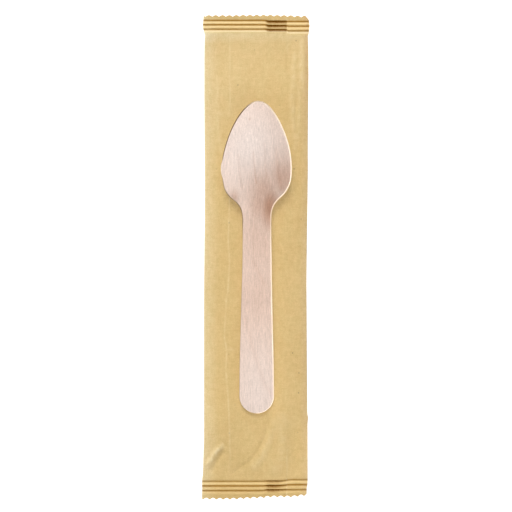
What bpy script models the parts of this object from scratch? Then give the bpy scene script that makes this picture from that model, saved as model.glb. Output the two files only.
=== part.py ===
"""A sealed kraft paper sachet that holds a pressed wooden teaspoon, with a second such spoon lying on it.

The sachet is one web of paper, folded into a flat tube, closed along its back by a fin that is folded
flat, and closed at both ends by crimped seals cut off with a zigzag knife. It is sealed, so it is one solid
with the spoon inside it. The spoon is one piece of veneer, cut out flat and pressed to a shallow bowl.

Metres. The sachet lies on its back on z = 0, its length along Y, with the origin at the middle of its
underside. The spoon's tip points to +Y. Seen from above with +Y up, +X is to the right.
"""

import math

import bmesh
import bpy
from mathutils import Matrix, Vector

# Sachet outline
PACK_LENGTH = 0.170  # between the tips of the end teeth
SEAL_WIDTH = 0.0371  # the flat tube's width, at the end seals
BODY_WIDTH = 0.0361  # the width half way along, drawn in by the contents
WAIST_RUN = 0.050  # from an end seal to where the width has drawn in fully
LEAN = 0.0005  # how far the top end lies to the right of the bottom end
TEETH = 15  # zigzag teeth across each end
TOOTH_DEPTH = 0.0007
CORNER_CUT = 0.0006  # how far the right corners are worn in

# End seals
CRIMPS = 3  # ridges in each end seal
CRIMP_PITCH = 0.00163
CRIMP_HEIGHT = 0.0004
TOP_SKIRT = 0.0023  # from the tooth tips to the first ridge, at the spoon's tip end
BOTTOM_SKIRT = 0.0029  # the same, at the spoon's handle end
TOP_EDGE_DROOP = 0.0004  # how far the right end of the top cut bends inwards
BOTTOM_EDGE_DROOP = 0.0012
SEAL_DROOP = 0.0006  # the same, for the ridges of either end
SEAL_THICKNESS = 0.0002  # two layers of paper
SEAL_LEVEL = 0.0009  # middle of the seal's paper above the table, between the ridges

# Pillow between the seals
CONTENTS_ROOM = 0.0001  # between the wrapped spoon and the paper, over and under it together
FOLD_LEVEL = 0.0013  # height of the side folds above the table
FOLD_THICKNESS = 0.0003
FRONT_SHOULDER = 0.012  # width over which the front rises from a side fold
BACK_SHOULDER = 0.006  # width over which the back comes down from a side fold
PILLOW_RISE = 0.023  # length over which the pillow rises from an end seal

# Fin along the back
FIN_ROOT = 0.0034  # from the middle line to the fin's fold
FIN_WIDTH = 0.0075
FIN_THICKNESS = 0.0002  # two layers of paper
FIN_FOLD = 0.0005  # width of the fold at the fin's root
FIN_GAP = 0.00015  # between the fin's free edge and the back
SEALED_GAP = 0.00002  # what is left of that gap in the end seals
FIN_RELEASE = 0.002  # width over which the back comes down beside the fin

# Spoon
SPOON_LENGTH = 0.1095
SPOON_THICKNESS = 0.0014
SPOON_EDGE_RADIUS = 0.0004
BOWL_WIDTH = 0.0243
BOWL_WIDEST_AT = 0.0233  # from the tip
BOWL_DEPTH = 0.0025
BOWL_DEEPEST_AT = 0.021
BOWL_FADE_END = 0.049  # where the bowl's hollow has run out into the handle
NECK_WIDTH = 0.0098
NECK_AT = 0.0415
HANDLE_WIDTH = 0.0122
HANDLE_BOW = 0.0008  # how far the handle's middle arches up
TIP_ROUND = 0.0062  # curve handles of the outline, which set how round it is at
BOWL_ROUND = 0.0082  # the tip, either side of the widest place, the neck
SHOULDER_ROUND = 0.0125  # and where the handle becomes parallel
NECK_ROUND = 0.009
HANDLE_TAPER_START = 0.022
HANDLE_TAPER_END = 0.0195
SPOON_OFFSET = 0.0005  # from the sachet's middle line to the spoon's

REST_GAP = 0.0003  # between the spoon and the paper that it rests on

# Mesh fineness
BODY_ROWS = 8  # rows of faces from the pillow's rise to the middle
RISE_ROWS = 5
BOWL_SPANS = 13
SHOULDER_SPANS = 12
HANDLE_SPANS = 9
END_SPANS = 7
SPOON_COLUMNS = 10
EDGE_SPANS = 3

PACK_THICKNESS = BOWL_DEPTH + SPOON_THICKNESS + CONTENTS_ROOM  # a second such spoon is wrapped inside
SEAL_RUN = (CRIMPS - 0.5) * CRIMP_PITCH  # from the first ridge to the seal's inner end
HALF_LENGTH = PACK_LENGTH / 2
PAPER_COLOUR = (0.72, 0.54, 0.25, 1.0)
WOOD_COLOUR = (0.84, 0.68, 0.60, 1.0)


def mix(a, b, share):
    return a + (b - a) * share


def ease(share):
    """0 to 1 with level ends."""
    share = min(1.0, max(0.0, share))
    return share * share * (3 - 2 * share)


def shoulder(share):
    """0 to 1, steep at first and level at the end."""
    share = min(1.0, max(0.0, share))
    return 1 - (1 - share) ** 2


class SachetEnd:
    """One end of the sachet. Places on it are given by how far in they lie from the tooth tips."""

    def __init__(self, side, skirt, edge_droop, tips_at_corners):
        self.side = side
        self.skirt = skirt
        self.edge_droop = edge_droop
        self.tips_at_corners = tips_at_corners
        self.seal_end = skirt + SEAL_RUN

    def tooth(self, across):
        """How far the cut lies in from the tooth tips. across runs from -1 at the left fold to 1."""
        phase = (across + 1) / 2 * TEETH + (0 if self.tips_at_corners else 0.5)
        return TOOTH_DEPTH * 2 * abs(phase - round(phase))

    def crimp(self, inset):
        """Height of the ridges, as a triangular wave that starts and ends at nothing."""
        ridge = (inset - self.skirt) / CRIMP_PITCH
        if ridge < -0.5 or ridge > CRIMPS - 0.5:
            return 0.0
        return CRIMP_HEIGHT * (1 - 2 * abs(ridge - round(ridge)))

    def pillow(self, inset):
        """0 in the seal, 1 where the pillow is at its full thickness."""
        return ease((inset - self.seal_end) / PILLOW_RISE)

    def half_width(self, inset):
        return mix(SEAL_WIDTH, BODY_WIDTH, shoulder((inset - self.seal_end) / WAIST_RUN)) / 2

    def insets(self):
        """Where the rows of the mesh lie, from the teeth to the middle of the sachet."""
        seal = [self.skirt + CRIMP_PITCH * (step / 2 - 0.5) for step in range(2 * CRIMPS + 1)]
        rise = [self.seal_end + PILLOW_RISE * (row + 1) / RISE_ROWS for row in range(RISE_ROWS)]
        rest = HALF_LENGTH - rise[-1]
        body = [rise[-1] + rest * (row + 1) / BODY_ROWS for row in range(BODY_ROWS)]
        return [0.0] + seal + rise + body

    def place(self, inset, across):
        """The x and y of a place on this end, the same for the front and the back."""
        right = (across + 1) / 2
        if inset == 0.0:
            droop = self.edge_droop * right**2 + self.tooth(across)
        else:
            droop = SEAL_DROOP * right**2 * (1 - self.pillow(inset))
        y = self.side * (HALF_LENGTH - inset - droop)
        worn = CORNER_CUT * max(0.0, across) ** 4 if inset == 0.0 else 0.0
        x = LEAN / 2 * y / HALF_LENGTH + across * self.half_width(inset) - worn
        return x, y


TOP_END = SachetEnd(1, TOP_SKIRT, TOP_EDGE_DROOP, False)
BOTTOM_END = SachetEnd(-1, BOTTOM_SKIRT, BOTTOM_EDGE_DROOP, True)


def fin_position(across):
    """0 at the fin's fold, 1 at its free edge."""
    return (across * BODY_WIDTH / 2 - FIN_ROOT) / FIN_WIDTH


def front_height(end, inset, across):
    """Height of the front of the paper above the table."""
    from_fold = (1 - abs(across)) * end.half_width(inset)
    edge = FOLD_LEVEL + FOLD_THICKNESS / 2
    body = mix(edge, PACK_THICKNESS, shoulder(from_fold / FRONT_SHOULDER))
    over_fin = -0.01 < fin_position(across) < 1.01
    bulge = FIN_THICKNESS / 2 if over_fin else 0.0
    seal = SEAL_LEVEL + end.crimp(inset) + SEAL_THICKNESS / 2 + bulge
    return mix(seal, body, end.pillow(inset))


def back_height(end, inset, across):
    """Height of the back of the paper above the table, without the fin."""
    from_fold = (1 - abs(across)) * end.half_width(inset)
    edge = FOLD_LEVEL - FOLD_THICKNESS / 2
    body = mix(edge, 0.0, shoulder(from_fold / BACK_SHOULDER))
    seal = SEAL_LEVEL + end.crimp(inset) - SEAL_THICKNESS / 2
    return mix(seal, body, end.pillow(inset))


def fin_gap(end, inset, across):
    """Gap between the fin and the back, which opens from the fin's fold to its free edge."""
    position = min(1.0, max(0.0, fin_position(across)))
    return SEALED_GAP + FIN_GAP * end.pillow(inset) * position


def fin_lift(end, inset, across):
    """How far the back is held up by the fin that lies under it."""
    past = (fin_position(across) - 1) * FIN_WIDTH
    release = 1 - ease((past - FIN_FOLD) / FIN_RELEASE)
    return (FIN_THICKNESS + fin_gap(end, inset, across)) * end.pillow(inset) * release


def sachet_columns():
    """The places across the sachet where its mesh has points, and the numbers of the fin's columns.

    They are the edges of the fin and the tips and roots of the teeth, but for teeth next to those edges.
    """
    root, fold = FIN_ROOT, FIN_ROOT + FIN_FOLD
    free, beyond = FIN_ROOT + FIN_WIDTH, FIN_ROOT + FIN_WIDTH + FIN_FOLD
    fin_lines = [line / (BODY_WIDTH / 2) for line in (root, fold, free, beyond)]
    teeth = [-1 + step / TEETH for step in range(2 * TEETH + 1)]
    nearest = 0.6 * (fin_lines[1] - fin_lines[0])
    clear = [tooth for tooth in teeth if all(abs(tooth - line) > nearest for line in fin_lines)]
    columns = sorted(clear + fin_lines)
    return columns, columns.index(fin_lines[0]), columns.index(fin_lines[2])


def sachet_mesh():
    """Closed mesh of the sachet: front, back, side folds, toothed ends and the fin on the back."""
    columns, root, free = sachet_columns()
    fold = root + 1
    rows = [(TOP_END, inset) for inset in TOP_END.insets()]
    rows += [(BOTTOM_END, inset) for inset in reversed(BOTTOM_END.insets()[:-1])]
    last = len(columns) - 1
    mesh = bmesh.new()
    front, back, fin_top, fin_under = [], [], [], []
    for end, inset in rows:
        lines = [{}, {}, {}, {}]
        for number, across in enumerate(columns):
            x, y = end.place(inset, across)
            under = back_height(end, inset, across)
            if number >= fold:
                under += fin_lift(end, inset, across)
            lines[0][number] = mesh.verts.new((x, y, front_height(end, inset, across)))
            lines[1][number] = mesh.verts.new((x, y, under))
            if fold <= number <= free:
                top = under - fin_gap(end, inset, across)
                lines[3][number] = mesh.verts.new((x, y, top - FIN_THICKNESS))
                if number > fold:
                    lines[2][number] = mesh.verts.new((x, y, top))
        lines[2][fold] = lines[1][fold]
        for store, line in zip((front, back, fin_top, fin_under), lines):
            store.append(line)

    for row in range(len(rows) - 1):
        below = row + 1
        for left in range(last):
            right = left + 1
            mesh.faces.new((front[row][left], front[below][left], front[below][right], front[row][right]))
            if left == root:
                continue
            mesh.faces.new((back[row][left], back[row][right], back[below][right], back[below][left]))
        mesh.faces.new((back[row][root], fin_under[row][fold], fin_under[below][fold], back[below][root]))
        for left in range(fold, free):
            right = left + 1
            mesh.faces.new(
                (fin_under[row][left], fin_under[row][right], fin_under[below][right], fin_under[below][left])
            )
            mesh.faces.new((fin_top[row][left], fin_top[below][left], fin_top[below][right], fin_top[row][right]))
        mesh.faces.new((fin_under[row][free], fin_top[row][free], fin_top[below][free], fin_under[below][free]))
        mesh.faces.new((front[row][0], back[row][0], back[below][0], front[below][0]))
        mesh.faces.new((front[row][last], front[below][last], back[below][last], back[row][last]))

    for row in (0, len(rows) - 1):
        for left in range(last):
            right = left + 1
            if left == root:
                cut = (front[row][left], front[row][right], back[row][right], fin_under[row][right], back[row][left])
            else:
                cut = (front[row][left], front[row][right], back[row][right], back[row][left])
            mesh.faces.new(cut)
        for left in range(fold, free):
            right = left + 1
            mesh.faces.new((fin_top[row][left], fin_top[row][right], fin_under[row][right], fin_under[row][left]))
    bmesh.ops.recalc_face_normals(mesh, faces=mesh.faces)
    return finished(mesh, "paper_sachet")


def curve(start, start_handle, end_handle, end, spans):
    """Points on a Bezier curve, without its first."""
    points = []
    for step in range(1, spans + 1):
        t = step / spans
        weights = ((1 - t) ** 3, 3 * t * (1 - t) ** 2, 3 * t**2 * (1 - t), t**3)
        corners = (start, start_handle, end_handle, end)
        points.append(tuple(sum(w * c[axis] for w, c in zip(weights, corners)) for axis in (0, 1)))
    return points


def spoon_outline():
    """Half of the spoon's outline, as distances from the tip and half widths, from the tip to the end."""
    bowl, neck, handle = BOWL_WIDTH / 2, NECK_WIDTH / 2, HANDLE_WIDTH / 2
    tip = (0.0, 0.0)
    widest = (BOWL_WIDEST_AT, bowl)
    narrowest = (NECK_AT, neck)
    end_start = (SPOON_LENGTH - handle, handle)
    points = [tip]
    points += curve(tip, (0.0, TIP_ROUND), (BOWL_WIDEST_AT - BOWL_ROUND, bowl), widest, BOWL_SPANS)
    points += curve(
        widest, (BOWL_WIDEST_AT + SHOULDER_ROUND, bowl), (NECK_AT - NECK_ROUND, neck), narrowest, SHOULDER_SPANS
    )
    points += curve(
        narrowest,
        (NECK_AT + HANDLE_TAPER_START, neck),
        (end_start[0] - HANDLE_TAPER_END, handle),
        end_start,
        HANDLE_SPANS,
    )
    for step in range(1, END_SPANS + 1):
        turn = math.pi / 2 * step / END_SPANS
        points.append((end_start[0] + handle * math.sin(turn), handle * math.cos(turn)))
    points[-1] = (SPOON_LENGTH, 0.0)
    return points


def outward(points):
    """Outward direction at each point of the half outline, along and across the spoon."""
    directions = [Vector((-1.0, 0.0))]
    for before, after in zip(points, points[2:]):
        along = Vector((after[0] - before[0], after[1] - before[1]))
        directions.append(Vector((-along.y, along.x)).normalized())
    return directions + [Vector((1.0, 0.0))]


def hollow(along):
    """Depth of the pressed hollow on the spoon's middle line."""
    if along < BOWL_DEEPEST_AT:
        return BOWL_DEPTH * shoulder(along / BOWL_DEEPEST_AT)
    fade = (along - BOWL_DEEPEST_AT) / (BOWL_FADE_END - BOWL_DEEPEST_AT)
    return BOWL_DEPTH * math.cos(math.pi / 2 * min(1.0, fade)) ** 2


def spoon_height(along, across, half_width):
    """Height of the middle of the veneer. The rim of the bowl and the neck lie at nothing."""
    dish = -hollow(along) * (1 - (across / max(half_width, 1e-6)) ** 2)
    arch = math.sin(math.pi * max(0.0, along - NECK_AT) / (SPOON_LENGTH - NECK_AT))
    return dish + HANDLE_BOW * arch**2


def half_width_at(points, along):
    """The outline's half width at a distance from the tip."""
    for (before, width_before), (after, width_after) in zip(points, points[1:]):
        if along <= after:
            return mix(width_before, width_after, (along - before) / (after - before))
    return 0.0


def veneer_point(points, along, across, level):
    """A point of the pressed veneer, at a level above the middle of its thickness and square to it."""
    step = 0.0001
    inside = min(SPOON_LENGTH - step, max(step, along))
    width = half_width_at(points, inside)
    ahead = spoon_height(inside + step, across, half_width_at(points, inside + step))
    behind = spoon_height(inside - step, across, half_width_at(points, inside - step))
    left = spoon_height(inside, across - step, width)
    right = spoon_height(inside, across + step, width)
    steepest = 0.6  # the rim formula runs away where the outline closes at the tip and the end
    slope_along = min(steepest, max(-steepest, (ahead - behind) / (2 * step)))
    slope_across = min(steepest, max(-steepest, (right - left) / (2 * step)))
    normal = Vector((-slope_across, slope_along, 1.0)).normalized()
    centre = Vector((across, SPOON_LENGTH / 2 - along, spoon_height(inside, across, width)))
    return centre + normal * level


def spoon_mesh():
    """Closed mesh of the spoon: an upper and a lower face joined by a rounded edge."""
    points = spoon_outline()
    directions = outward(points)
    half = SPOON_THICKNESS / 2
    radius = SPOON_EDGE_RADIUS
    rings = []  # inset from the outline and level, from the upper face round to the lower one
    for step in range(EDGE_SPANS + 1):
        turn = math.pi / 2 * step / EDGE_SPANS
        rings.append((radius * (1 - math.sin(turn)), half - radius * (1 - math.cos(turn))))
    rings += [(inset, -level) for inset, level in reversed(rings)]

    mesh = bmesh.new()
    loops = []
    for inset, level in rings:
        loop = []
        for side in (1, -1):
            chain = list(zip(points, directions))
            chain = chain if side == 1 else chain[-2:0:-1]
            for (along, width), direction in chain:
                place_along = along - inset * direction.x
                place_across = side * max(0.0, width - inset * direction.y)
                loop.append(mesh.verts.new(veneer_point(points, place_along, place_across, level)))
        loops.append(loop)
    count = len(loops[0])
    for upper, lower in zip(loops, loops[1:]):
        for number in range(count):
            after = (number + 1) % count
            mesh.faces.new((upper[number], upper[after], lower[after], lower[number]))

    for loop, (inset, level) in ((loops[0], rings[0]), (loops[-1], rings[-1])):
        face_rows = [[loop[0]]]
        for number in range(1, len(points) - 1):
            direction = directions[number]
            along = points[number][0] - inset * direction.x
            width = points[number][1] - inset * direction.y
            row = [loop[number]]
            for column in range(1, SPOON_COLUMNS):
                across = width * (1 - 2 * column / SPOON_COLUMNS)
                row.append(mesh.verts.new(veneer_point(points, along, across, level)))
            row.append(loop[-number])
            face_rows.append(row)
        face_rows.append([loop[len(points) - 1]])
        for upper, lower in zip(face_rows, face_rows[1:]):
            for column in range(SPOON_COLUMNS):
                corners = upper[column : column + 2] + lower[column : column + 2][::-1]
                if len(upper) == 1:
                    corners = upper + lower[column : column + 2][::-1]
                elif len(lower) == 1:
                    corners = upper[column : column + 2] + lower
                mesh.faces.new(corners)
    bmesh.ops.recalc_face_normals(mesh, faces=mesh.faces)
    return finished(mesh, "wooden_spoon")


def finished(mesh, name):
    """The bmesh as mesh data, shaded smooth but for its sharp edges."""
    data = bpy.data.meshes.new(name)
    mesh.to_mesh(data)
    mesh.free()
    data.shade_smooth()
    data.set_sharp_from_angle(angle=math.radians(35))
    return data


def material(name, colour, roughness):
    made = bpy.data.materials.new(name)
    made.use_nodes = True
    shader = made.node_tree.nodes["Principled BSDF"]
    shader.inputs["Base Color"].default_value = colour
    shader.inputs["Roughness"].default_value = roughness
    shader.inputs["Metallic"].default_value = 0.0
    return made


def add_part(data, surface):
    data.materials.append(surface)
    part = bpy.data.objects.new(data.name, data)
    bpy.context.scene.collection.objects.link(part)
    return part


def front_under(x, y):
    """Height of the sachet's front below a place on the spoon."""
    end = TOP_END if y > 0 else BOTTOM_END
    inset = HALF_LENGTH - abs(y)
    return front_height(end, inset, (x - LEAN / 2 * y / HALF_LENGTH) / end.half_width(inset))


def lay_on_sachet(spoon):
    """Tips the spoon until bowl and handle end are level, then lowers it to its gap over the paper."""
    pitch = math.atan2(BOWL_DEPTH, SPOON_LENGTH - BOWL_DEEPEST_AT)
    spoon.rotation_euler = (pitch, 0.0, 0.0)
    turned = Matrix.Translation((SPOON_OFFSET, 0.0, 0.0)) @ Matrix.Rotation(pitch, 4, "X")
    places = [turned @ vertex.co for vertex in spoon.data.vertices]
    lowest = min(place.z - front_under(place.x, place.y) for place in places)
    spoon.location = (SPOON_OFFSET, 0.0, REST_GAP - lowest)


def main():
    for old in list(bpy.data.objects):
        bpy.data.objects.remove(old)
    add_part(sachet_mesh(), material("kraft_paper", PAPER_COLOUR, 0.6))
    spoon = add_part(spoon_mesh(), material("birch_veneer", WOOD_COLOUR, 0.65))
    lay_on_sachet(spoon)


main()
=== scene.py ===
"""Looks of the wooden cutlery pack: a crimped kraft paper sachet with a pressed birch teaspoon lying on it.

Metres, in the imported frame: +Y towards the spoon's tip, +X to the right seen from above, +Z up.
Lists of places along a fold or an edge are in millimetres.
"""

import functools
import math
from dataclasses import dataclass

import bmesh
import bpy
import numpy as np
from mathutils import Matrix, Vector


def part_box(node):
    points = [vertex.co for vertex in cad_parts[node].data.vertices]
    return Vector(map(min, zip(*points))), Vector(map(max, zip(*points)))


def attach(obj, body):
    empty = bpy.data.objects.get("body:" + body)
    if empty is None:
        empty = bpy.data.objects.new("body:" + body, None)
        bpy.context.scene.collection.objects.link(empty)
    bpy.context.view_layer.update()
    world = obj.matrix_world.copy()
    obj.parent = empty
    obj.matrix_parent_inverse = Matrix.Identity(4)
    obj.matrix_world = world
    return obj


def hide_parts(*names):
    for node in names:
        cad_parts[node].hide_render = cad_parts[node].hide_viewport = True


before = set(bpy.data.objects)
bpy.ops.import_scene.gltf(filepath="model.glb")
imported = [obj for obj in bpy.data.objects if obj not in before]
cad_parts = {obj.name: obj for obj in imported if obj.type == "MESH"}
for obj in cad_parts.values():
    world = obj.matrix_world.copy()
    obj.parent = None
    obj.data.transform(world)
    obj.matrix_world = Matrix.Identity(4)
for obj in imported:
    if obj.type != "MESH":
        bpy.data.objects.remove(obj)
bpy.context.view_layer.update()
SACHET_LOW, SACHET_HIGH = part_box("paper_sachet")
SPOON_LOW, SPOON_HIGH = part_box("wooden_spoon")

MM = 0.001

# Sachet, with the sizes that its box doesn't give
LEAN = 0.0005  # how far the top end lies to the right of the bottom end
SEAL_WIDTH = SACHET_HIGH.x - SACHET_LOW.x - LEAN
HALF_LENGTH = SACHET_HIGH.y
PACK_THICKNESS = SACHET_HIGH.z
SEAL_THICKNESS = 0.0002
SEAL_LEVEL = 0.0009
FOLD_LEVEL = 0.0013
FOLD_THICKNESS = 0.0003
FRONT_SHOULDER = 0.012
BACK_SHOULDER = 0.006
PILLOW_RISE = 0.023
# How far each side fold is drawn in from a straight line, at places along the sachet from the top down
DRAWN_IN_LEFT = (
    (85, 0.05), (83.2, -0.1), (81.8, -0.24), (80.4, -0.1), (79.4, 0.1), (78.6, 0.4), (69, 0.33), (55, 0.38),
    (41, 0.5), (22, 0.66), (8, 0.6), (-11.6, 0.43), (-33, 0.49), (-51, 0.56), (-64, 0.57), (-70, 0.4),
    (-76, 0.2), (-77.6, 0), (-79, -0.06), (-81, 0), (-85, -0.1))
DRAWN_IN_RIGHT = (
    (83.4, 0.05), (81.8, -0.15), (80.4, -0.02), (79.2, 0.13), (78.4, 0.36), (74, 0.24), (64, 0.16),
    (41, 0.29), (30, 0.25), (22, 0.34), (8, 0.5), (-8.8, 0.65), (-17, 0.55), (-33, 0.42), (-51, 0.24),
    (-60, 0.12), (-76, 0.02), (-79, 0.02), (-80, 0.1), (-81.5, 0.33), (-85, 0.4))
# How far the cut ends run inwards of the sachet's length, at places across the sachet
TOP_CUT = (
    (-18, -0.1), (-8, -0.1), (-4.5, -0.2), (5, -0.2), (8, -0.12), (12, -0.04), (14.5, 0.14), (17, 0.12))
BOTTOM_CUT = (
    (-18.5, 0), (-11, -0.1), (-6, -0.03), (-4, 0.12), (-1.6, 0.21), (0.8, 0.33), (3.1, 0.45), (5, 0.66),
    (7.5, 0.75), (12.4, 0.7), (14.7, 0.84), (16.5, 1.1))
CORNER_WEAR_AT = 0.8  # share of the half width beyond which the right corners are worn off
EDGE_BUMP_AT = -0.0565  # a kink of the right side fold
EDGE_BUMP_SIZE = 0.0003
EDGE_BUMP_RUN = 0.001

# Crimps
CRIMPS = 3
CRIMP_DEPTH = 0.00034
GENTLE_FLANK = 0.62  # share of a pitch on the side towards -Y of each groove
STEEP_FLANK = 1 - GENTLE_FLANK
OUTSIDE_CRIMPS = 9.0  # the place given to points that lie in no crimp
DEEPER_OVER_FIN = 0.3  # share by which the grooves are deeper there
SEAL_FADE = 0.0006
# Marks of the crimps for the paper's colours, in pitches. The grooves are dark partly from pressing and
# partly as painted shade; the ridges' brightness is painted highlight.
GROOVE_SHIFT = 0.2  # towards +Y of the groove's bottom
GROOVE_SPREAD = 0.25
GROOVE_SPREAD_OVER_FIN = 0.54
RIDGE_SHIFT = 0.24  # towards -Y of the groove's bottom
RIDGE_SPREAD = 0.2

# Fin on the back
FIN_ROOT = 0.0034
FIN_WIDTH = 0.0075
FIN_THICKNESS = 0.0002
FIN_FOLD = 0.0005
FIN_GAP = 0.00015
SEALED_GAP = 0.00002
FIN_RELEASE = 0.002
FIN_EDGE_MARK = 0.0002  # half width of the pale line that its free edge makes in the seals
FIN_EDGE_PALENESS = 0.7
FIN_STEP_AT = 0.2  # middle of the step that the crimps make at the fin's fold, in half widths
FIN_STEP_RUN = 0.1
FIN_MARK_START = -0.1  # where the fin begins to show in the seals, in fin widths from its fold
FIN_MARK_RUN = 0.12
FIN_MARK_END = 1.003
FIN_DARK_START = -0.05  # the same for the darkness of the grooves
FIN_DARK_RUN = 0.2
FIN_DARK_FADE = 0.45

# Folds and wrinkles of the front: places from end to end, half width, height (- is a valley) and how pale
# the paper is along them, partly rubbed paper and partly painted highlight on the folds
SMOOTH_MARGIN = 0.0015  # they fade out over this distance from the side folds
SMOOTH_END = 0.003  # and over this one from the seals
WRINKLES = {
    "long_crease_top": (((-9.2, 78), (-9, 70), (-9.15, 62), (-8.95, 56), (-9.1, 50)), 0.25, 0.05, 0.4),
    "long_crease": (
        ((-9.1, 30), (-9.15, 18.3), (-9.65, 6), (-9.15, -1.8), (-9.75, -11.9), (-10.3, -15.1),
         (-10.95, -27.7), (-10.1, -33), (-10.5, -39.7), (-9.6, -49.5), (-9.15, -61), (-8.95, -69.5),
         (-9.5, -77)),
        0.25, 0.06, 0.5),
    "crease_branch": (((-10.2, -32.7), (-8.4, -32.4), (-6.7, -31.4)), 0.4, 0.05, 0.3),
    "upper_left": (((-13.4, 64), (-13.5, 55), (-13.3, 48), (-12.7, 42), (-12, 36)), 0.7, 0.08, 0.35),
    "upper_left_branch": (((-13.3, 50), (-11.6, 50.4), (-10.2, 51)), 0.5, 0.05, 0.25),
    "upper_right_inner": (
        ((13.6, 75), (13.2, 60), (12.6, 55), (13.1, 49), (13.8, 43), (14, 37)), 0.8, 0.1, 0.35),
    "upper_right_outer": (((14.3, 61), (15.6, 57), (15.4, 51), (15.1, 45), (14.4, 38)), 0.6, 0.08, 0.3),
    "upper_right_hollow": (((14.2, 58), (14.1, 50), (14.6, 44)), 0.6, -0.08, 0),
    "top_right_swell": (((16.2, 77), (16, 66), (16.4, 58)), 0.9, 0.12, 0.5),
    "left_swell": (((-11.5, 16), (-12.6, -2), (-11.8, -24)), 1.2, -0.1, 0),
    "lower_left_ridge": (((-17.6, -73.6), (-15.8, -71), (-13.8, -68), (-11.1, -65.4)), 0.9, 0.38, 0.85),
    "lower_left_valley": (((-15.6, -75.5), (-13.4, -71.4), (-11.2, -68)), 1, -0.32, 0),
    "lower_left_fan": (((-10.6, -76), (-11.4, -71), (-11.4, -64)), 1, -0.15, 0),
    "lower_middle_valley": (
        ((-8.5, -76.2), (-5.3, -73.7), (-2.2, -71.6), (0.8, -68), (3.4, -62.8), (5.2, -55.8)),
        0.7, -0.2, 0),
    "lower_middle_ridge": (((-1.6, -74.8), (2.2, -70.4), (5, -64), (7, -57)), 1.2, 0.16, 0.3),
    "lower_right_swell": (((6.4, -77), (9.6, -68), (9.4, -54)), 2.2, 0.2, 0.25),
    "lower_right_valley": (((13.6, -76), (12.8, -66), (13.8, -52)), 1.8, -0.15, 0),
    "middle_shallow": (((-0.5, -57), (1.5, -62), (2, -67)), 2.4, -0.2, 0),
    "fin_edge_bottom": (((11, -66), (11, -79)), 0.35, 0.06, 0.4),
    "fin_edge_top": (((11.2, 70), (11.2, 79)), 0.35, 0.04, 0.2),
}
# Dark specks of bark in the paper: x, y and strength
SPECKS = (
    (14.2, 76.1, 0.9), (-0.3, 72.9, 0.5), (-6.2, 60.5, 0.9), (8.3, 53.4, 0.3), (-13.8, 31.1, 0.4),
    (13.5, 31.1, 1), (-9.3, 12.2, 1), (16, 13.5, 0.7), (-9.4, -33.9, 0.4), (13, -33.5, 0.9),
    (15.2, -40.5, 0.9), (15.1, -47.5, 1), (-7.2, -51.7, 0.4), (-9.2, -61.6, 0.9), (14.7, -61.4, 0.4))
SPECK_RADIUS = 0.3
SPECK_STRENGTH = 0.6
# Long soft waves of the paper: height, wavelength across, wavelength along and phase
SWELLS = ((0.035, 19, 61, 0.4), (0.03, -27, 38, 1.9), (0.02, 11, -90, 3.1), (0.012, 7.3, 23, 5))

# Spoon
SPOON_SHIFT = 0.00006  # towards the top of the sachet
SPOON_DROP = 0.0002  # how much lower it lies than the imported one, which is held clear of the paper
SPOON_LENGTH = 0.1095
SPOON_THICKNESS = 0.0014
SPOON_EDGE_RADIUS = 0.0002
CUT_EDGE_FADE = 0.25  # share of that radius over which the face's colour gives way to the cut edge's
STEEPEST_EDGE = 0.23  # the most that the cut edge leans out with the veneer, as a slope
STEEPEST_LEFT_EDGE = 0.12
UNDERSIDE_SHADE = 0.6
HANDLE_LEAN = 0.24  # slope of the handle's cut edge on its right and at its end
HANDLE_LEAN_START = 0.036  # from the tip. It is full where the bowl's hollow ends
HANDLE_LEAN_LEVEL = 0.25  # thicknesses below the veneer's middle at which the leaning edge keeps its place
HANDLE_LEAN_RUN = 0.4  # share of the half width over which the veneer follows the edge
HANDLE_END_RUN = 0.004  # the same at the handle's end
BOWL_WIDTH = 0.0244
BOWL_WIDEST_AT = 0.0233
BOWL_DEPTH = 0.0025
BOWL_DEEPEST_AT = 0.021
BOWL_FADE_END = 0.049
NECK_WIDTH = 0.01
NECK_AT = 0.0415
HANDLE_WIDTH = 0.0121
HANDLE_BOW = 0.0008
TIP_ROUND = 0.0058
BOWL_ROUND = 0.0092
SHOULDER_ROUND = 0.0136
NECK_ROUND = 0.0097
HANDLE_TAPER_START = 0.026
HANDLE_TAPER_END = 0.0195
# How far the middle of the outline is off to the right, along the spoon from its tip
SKEW = (
    (0, 0.45), (4, 0.22), (9, 0.1), (15, 0.05), (22, -0.15), (28, -0.1), (33.5, -0.6), (37, -0.2),
    (41, -0.07), (47, -0.04), (56, 0), (70, -0.12), (90, -0.15), (110, -0.12))
# How dark the left side of the cut edge is, along the spoon from its tip
EDGE_DARKNESS = ((0.4, 0), (1.6, 0.55), (4.5, 1), (19, 0.95), (28, 0.6), (39, 0.65), (45, 0.5), (105, 0.5))
SPLINTER_AT = 0.0239  # a lifted sliver on the left rim of the bowl
SPLINTER_RUN = 0.0027
SPLINTER_SIZE = 0.0004
# Places of darker and of paler patches of the spoon: middle x and y, half width, half length and strength.
# The darker ones are stains of the wood and painted shade in the bowl's lower right, at the neck and at the
# shoulders; the paler ones are partly painted light, on the upper bowl and on the right shoulder's rim.
STAINS_AND_SHADE = (
    (4.4, 17.6, 3.6, 8, 1), (0.9, 19.5, 4.2, 8, 0.6), (9.1, 27.7, 6, 7, 0.62), (2.4, 23.5, 6, 8, 0.64),
    (0.7, 7.7, 8, 14, 0.3), (0, -14, 8, 12, 0.25), (-7.9, 21.1, 1.6, 2.5, 0.5), (-4, 29.8, 2, 4, 0.15),
    (-2.5, 48.5, 0.3, 0.5, 0.6))
PALE_PATCHES = ((-2.8, 38, 14, 17, 1), (0.3, -49, 10, 20, 0.65), (8.3, 21.8, 1.2, 2, 0.5))
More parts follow.
